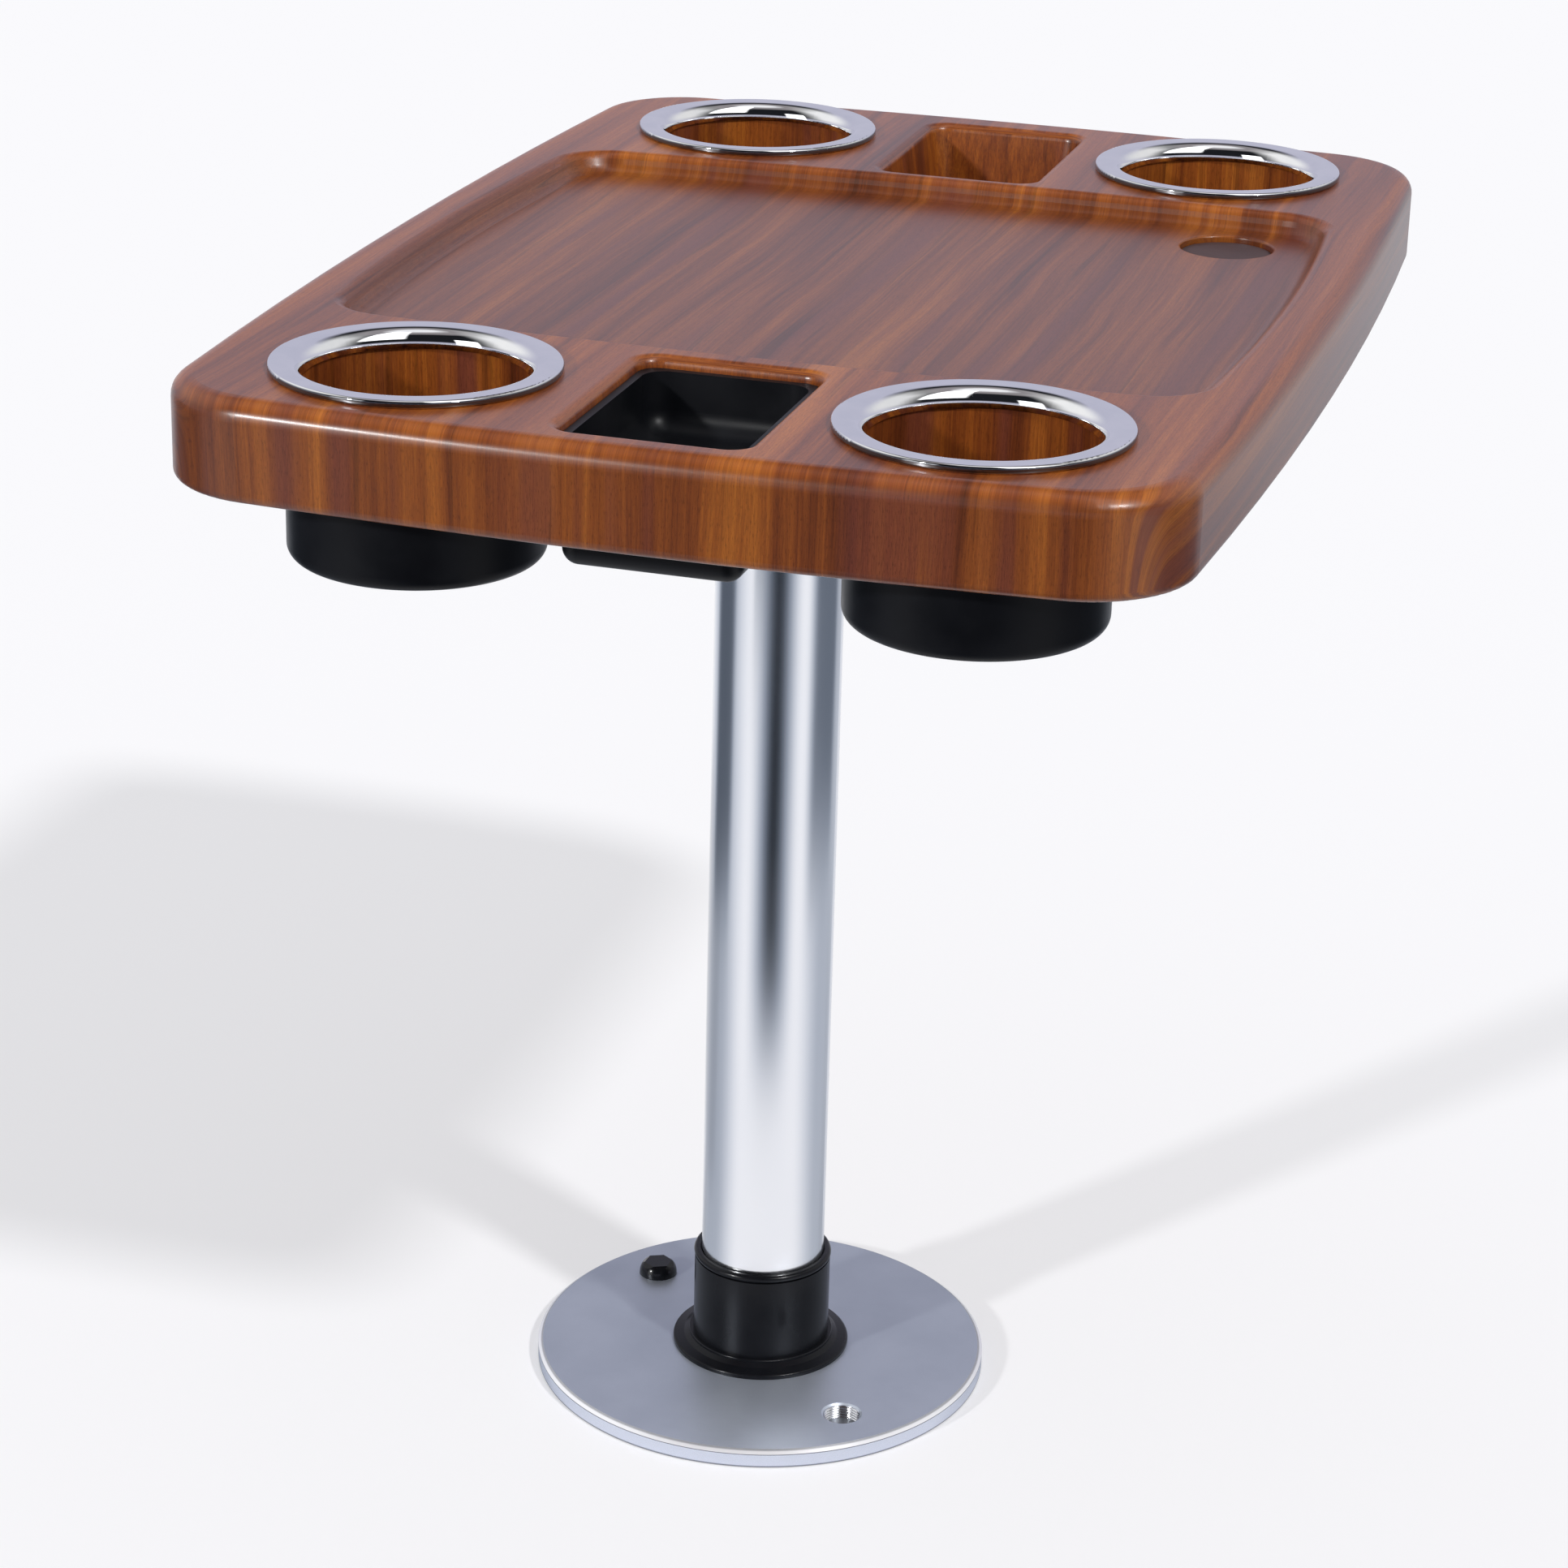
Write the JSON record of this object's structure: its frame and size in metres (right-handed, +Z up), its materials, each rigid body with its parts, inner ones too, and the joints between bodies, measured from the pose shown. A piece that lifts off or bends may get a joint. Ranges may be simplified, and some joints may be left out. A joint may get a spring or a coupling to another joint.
{
  "type": "boat table",
  "caption": "Moulded wooden boat table with chrome-ringed drink holders, end pockets and a sunken middle, on a swivelling lift-out pedestal with a round base.",
  "frame": {"origin": "on the post's axis where the base plate's underside meets the floor", "axes": "+Z up along the post, +Y along the top's long side, away from the end with the lift-out tray, +X across the top, towards its overhanging side"},
  "size_m": [0.4365, 0.626, 0.5659],
  "materials": {
    "top_wood": "gloss lacquer over laminated reddish-brown wood",
    "ring_chrome": "polished",
    "cup_plastic": "satin black",
    "tray_plastic": "satin black",
    "plug_plastic": "satin grey-brown",
    "post_metal": "satin anodised",
    "plate_metal": "bead-blasted and anodised, bright bevel",
    "cover_metal": "mill finish",
    "receiver_metal": "black powder coat over cast metal",
    "collar_plastic": "semi-gloss black",
    "bushing_plastic": "gloss black",
    "button_plastic": "gloss black",
    "foot_plastic": "moulded black",
    "pad_rubber": "matte",
    "screw_steel": "bright",
    "black_screw": "blackened"
  },
  "bodies": {
    "base": {"base_plate": "plate_metal", "base_cover": "cover_metal", "cover_screws": "screw_steel", "socket_collar": "collar_plastic", "collar_screws": "screw_steel", "brake_spring": "screw_steel"},
    "bushing": {"swivel_bushing": "bushing_plastic"},
    "post": {"post_tube": "post_metal", "post_foot": "foot_plastic", "top_receiver": "receiver_metal", "receiver_screws": "screw_steel", "receiver_set_screws": "black_screw", "top_board": "top_wood", "hole_plug": "plug_plastic", "cup_ring_near_left": "ring_chrome", "cup_ring_near_right": "ring_chrome", "cup_ring_far_left": "ring_chrome", "cup_ring_far_right": "ring_chrome", "cup_near_left": "cup_plastic", "cup_near_right": "cup_plastic", "cup_far_left": "cup_plastic", "cup_far_right": "cup_plastic"},
    "tray": {"tray_insert": "tray_plastic"},
    "button": {"release_button": "button_plastic"},
    "brake": {"brake_slider": "cover_metal", "brake_pad": "pad_rubber"}
  },
  "joints": [
    {"name": "swivel", "type": "hinge", "parent": "base", "child": "bushing", "pos_m": [0, 0, 0], "axis": [0, 0, 1], "continuous": true},
    {"name": "post_lift", "type": "slide", "parent": "bushing", "child": "post", "axis": [0, 0, 1], "range_m": [0, 0.0585]},
    {"name": "tray_lift", "type": "slide", "parent": "post", "child": "tray", "axis": [0, 0, 1], "range_m": [0, 0.057]},
    {"name": "button_press", "type": "slide", "parent": "base", "child": "button", "axis": [0, 0, -1], "range_m": [0, 0.0025], "stiffness_N_per_m": 1500, "springref_m": -0.003},
    {"name": "brake_slide", "type": "slide", "parent": "base", "child": "brake", "axis": [-0.829, 0.5592, 0], "range_m": [0, 0.0025], "deforming": ["brake_spring"]}
  ],
  "couplings": [
    {"joint": "brake_slide", "follows": "button_press", "ratio": 1}
  ]
}
